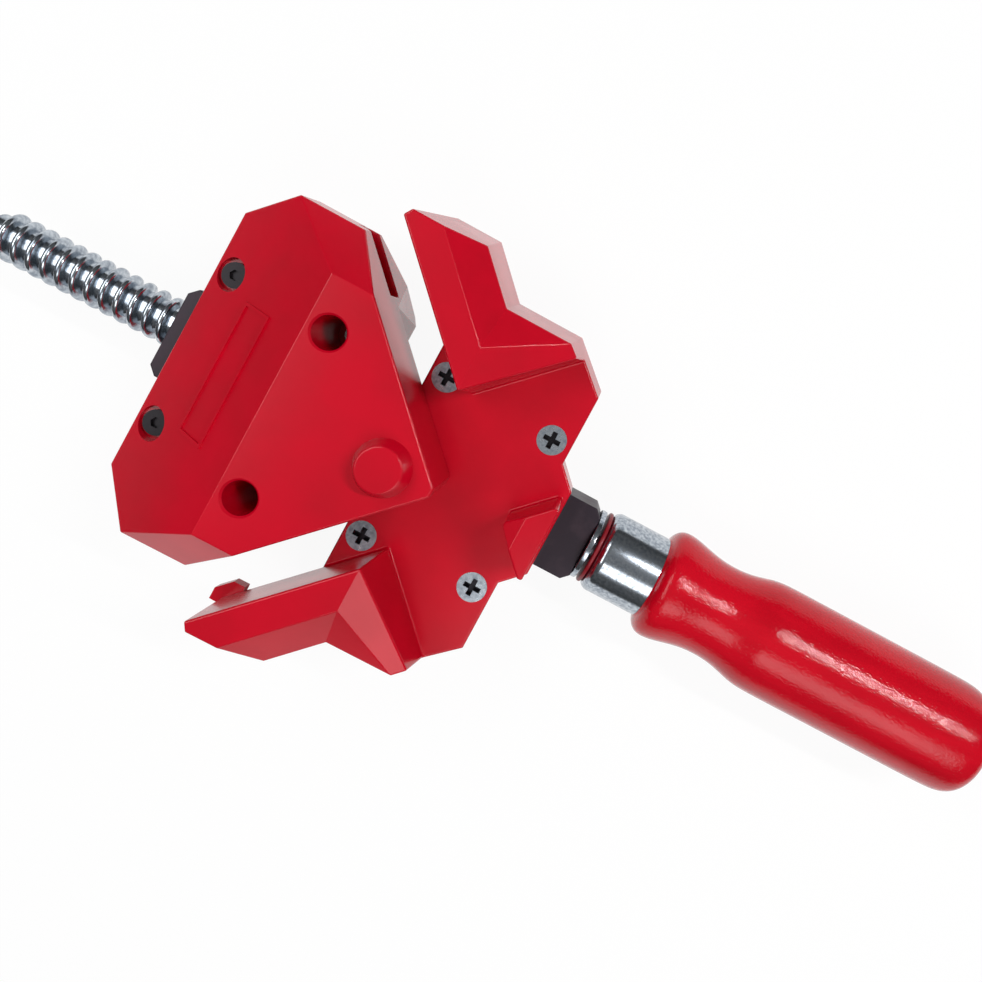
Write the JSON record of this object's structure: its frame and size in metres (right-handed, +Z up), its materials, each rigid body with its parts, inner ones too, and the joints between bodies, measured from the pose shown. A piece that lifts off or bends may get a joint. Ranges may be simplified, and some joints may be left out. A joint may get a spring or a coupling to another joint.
{
  "type": "corner clamp",
  "caption": "Corner clamp with two right-angled arms, a cast nose-shaped head drawn in by a threaded spindle, and a turned wooden handle.",
  "frame": {"origin": "on the bench plane under the corner of the V between the two arms", "axes": "+X along the spindle towards the handle, +Z up from the bench, +Y across"},
  "size_m": [0.3634, 0.147, 0.0684],
  "materials": {
    "red_coating": "glossy red powder coat over a cast alloy",
    "black_steel": "black phosphated steel, satin",
    "zinc_steel": "bright zinc-plated steel",
    "ferrule_steel": "polished zinc-plated steel",
    "red_plastic": "red plastic",
    "red_lacquer": "turned beech under thick red gloss lacquer",
    "black_screw": "black oxide steel"
  },
  "bodies": {
    "body": {"body_upper_casting": "red_coating", "body_lower_casting": "red_coating", "rear_body_screw_left": "zinc_steel", "rear_body_screw_right": "zinc_steel", "front_body_screw_left": "zinc_steel", "front_body_screw_right": "zinc_steel"},
    "thrust_carriage": {"thrust_block": "black_steel", "thrust_upper_pin": "zinc_steel", "thrust_lower_pin": "zinc_steel"},
    "screw": {"spindle": "zinc_steel", "inner_thrust_washer": "zinc_steel", "thrust_collar": "zinc_steel", "neck_ring": "red_plastic", "handle_ferrule": "ferrule_steel", "handle_grip": "red_lacquer"},
    "nut": {"nut_block": "black_steel", "nut_upper_pin": "zinc_steel", "nut_lower_pin": "zinc_steel"},
    "head": {"head_upper_casting": "red_coating", "head_lower_casting": "red_coating", "head_screw_left": "black_screw", "head_screw_right": "black_screw"}
  },
  "joints": [
    {"name": "spindle_swing", "type": "hinge", "parent": "body", "child": "thrust_carriage", "pos_m": [0.0075, 0, 0.021], "axis": [0, 0, 1], "range_deg": [-2, 2]},
    {"name": "spindle_turn", "type": "hinge", "parent": "thrust_carriage", "child": "screw", "pos_m": [0.0272, 0, 0.021], "axis": [1, 0, 0], "range_deg": [-720, 4176]},
    {"name": "head_slide", "type": "slide", "parent": "thrust_carriage", "child": "nut", "axis": [1, 0, 0], "range_m": [-0.058, 0.01]},
    {"name": "head_pivot", "type": "hinge", "parent": "nut", "child": "head", "pos_m": [-0.101, 0, 0.021], "axis": [0, 0, -1], "range_deg": [-2, 2]}
  ],
  "couplings": [
    {"joint": "spindle_turn", "follows": "head_slide", "rad_per_m": -1256.6}
  ]
}
